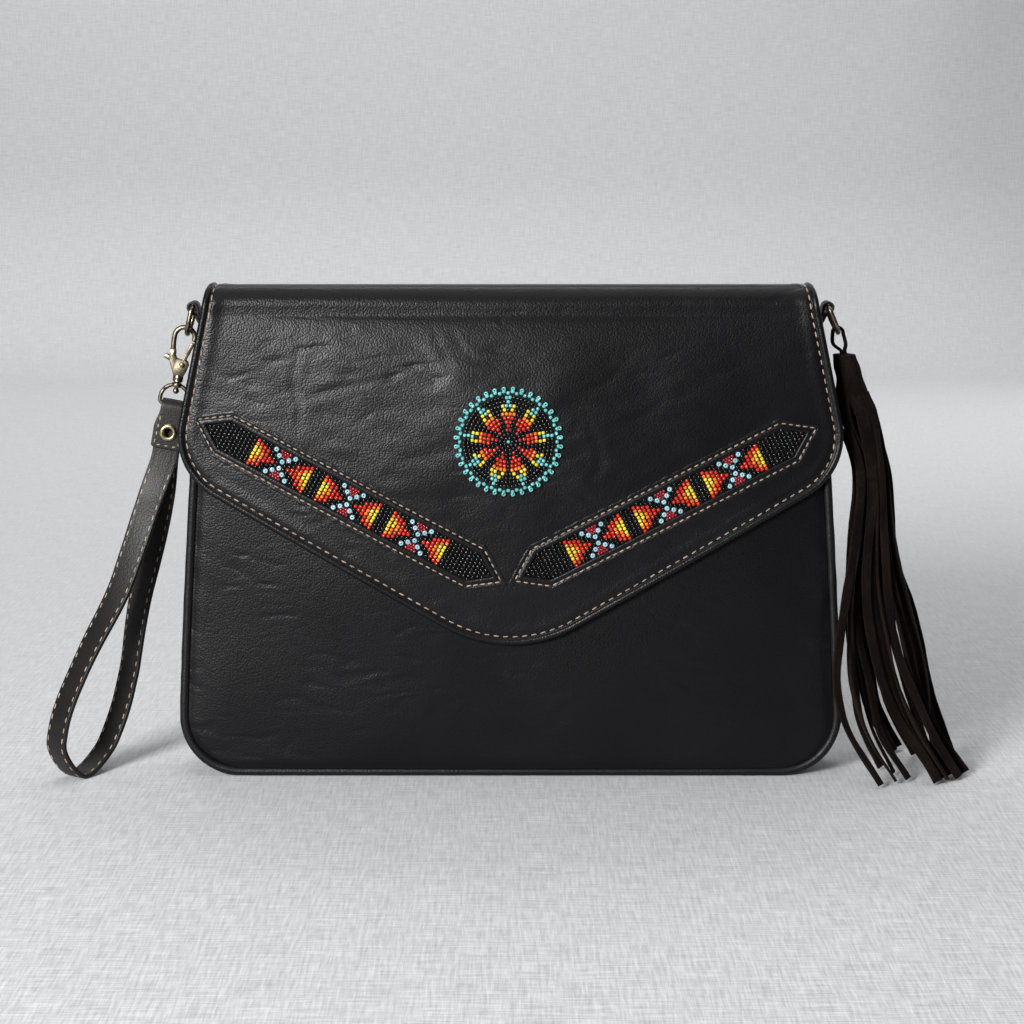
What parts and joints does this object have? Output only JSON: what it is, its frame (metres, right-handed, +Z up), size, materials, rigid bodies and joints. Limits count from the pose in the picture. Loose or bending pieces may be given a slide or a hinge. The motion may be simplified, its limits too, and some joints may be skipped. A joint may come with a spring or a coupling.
{
  "type": "beaded clutch bag",
  "caption": "Black leather flap clutch with beaded rosette and beaded strips, a clip-on wrist strap loop and a suede tassel.",
  "frame": {"origin": "middle of the flat bottom, where the bag stands", "axes": "+X along the mouth towards the tassel, -Y out of the flap's face, +Z up"},
  "size_m": [0.4544, 0.0784, 0.2422],
  "materials": {
    "body_leather": "pebbled, semi-gloss, wrinkled by use",
    "flap_leather": "pebbled, semi-gloss, tan stitching",
    "flap_lining_leather": "matt, flesh side out",
    "strap_leather": "smooth, burnished edges, tan stitching",
    "tassel_suede": "napped suede",
    "lining_cloth": "plain woven cotton",
    "bead_glass": "opaque glass seed beads, sewn in rows",
    "bead_turquoise": "opaque glass seed beads, sewn in loops",
    "hardware_brass": "antiqued, polished on the high spots",
    "spring_steel": "plain"
  },
  "bodies": {
    "bag": {"front_panel": "body_leather", "back_panel": "body_leather", "front_welt": "body_leather", "back_welt": "body_leather", "gusset": "body_leather", "pocket_lining": "lining_cloth", "snap_socket": "hardware_brass", "snap_socket_backing": "spring_steel", "left_ring_tab": "body_leather", "right_ring_tab": "body_leather"},
    "flap": {"flap_leather": "flap_leather", "flap_lining": "flap_lining_leather", "left_bead_strip": "bead_glass", "right_bead_strip": "bead_glass", "rosette": "bead_glass", "rosette_edging": "bead_turquoise", "snap_stud": "hardware_brass", "snap_stud_backing": "spring_steel"},
    "left_ring": {"left_d_ring": "hardware_brass"},
    "hook": {"hook_body": "hardware_brass", "gate_pin": "hardware_brass", "gate_spring": "spring_steel"},
    "gate": {"hook_gate": "hardware_brass"},
    "swivel": {"swivel_eye": "hardware_brass"},
    "strap": {"strap_tab": "strap_leather", "wrist_strap": "strap_leather", "eyelet": "hardware_brass", "eyelet_washer": "hardware_brass"},
    "right_ring": {"right_d_ring": "hardware_brass"},
    "tassel": {"tassel_thong": "tassel_suede", "tassel_fringe": "tassel_suede"}
  },
  "joints": [
    {"name": "flap_hinge", "type": "hinge", "parent": "bag", "child": "flap", "pos_m": [0, 0.0132, 0.2273], "axis": [-1, 0, 0], "range_deg": [0, 140]},
    {"name": "left_ring_swing", "type": "hinge", "parent": "bag", "child": "left_ring", "pos_m": [-0.15443, 0, 0.2305], "axis": [0, 1, 0], "range_deg": [0, 70]},
    {"name": "hook_swing", "type": "hinge", "parent": "left_ring", "child": "hook", "pos_m": [-0.15772, 0, 0.2173], "axis": [0, 1, 0], "range_deg": [0, 60]},
    {"name": "gate_pivot", "type": "hinge", "parent": "hook", "child": "gate", "pos_m": [-0.16049, 0, 0.20224], "axis": [0, -1, 0], "range_deg": [0, 25], "stiffness_Nm_per_rad": 0.02, "springref_deg": -28.65},
    {"name": "hook_swivel", "type": "hinge", "parent": "hook", "child": "swivel", "pos_m": [-0.16274, 0, 0.19615], "axis": [-0.1822, 0, -0.9833], "range_deg": [0, 60]},
    {"name": "strap_swing", "type": "hinge", "parent": "swivel", "child": "strap", "pos_m": [-0.16526, 0, 0.18253], "axis": [-0.9833, 0, 0.1822], "range_deg": [0, 25]},
    {"name": "right_ring_swing", "type": "hinge", "parent": "bag", "child": "right_ring", "pos_m": [0.15443, 0, 0.2305], "axis": [0, -1, 0], "range_deg": [0, 60]},
    {"name": "tassel_swing", "type": "hinge", "parent": "right_ring", "child": "tassel", "pos_m": [0.15975, 0, 0.21798], "axis": [0, -1, 0], "range_deg": [0, 60]}
  ]
}
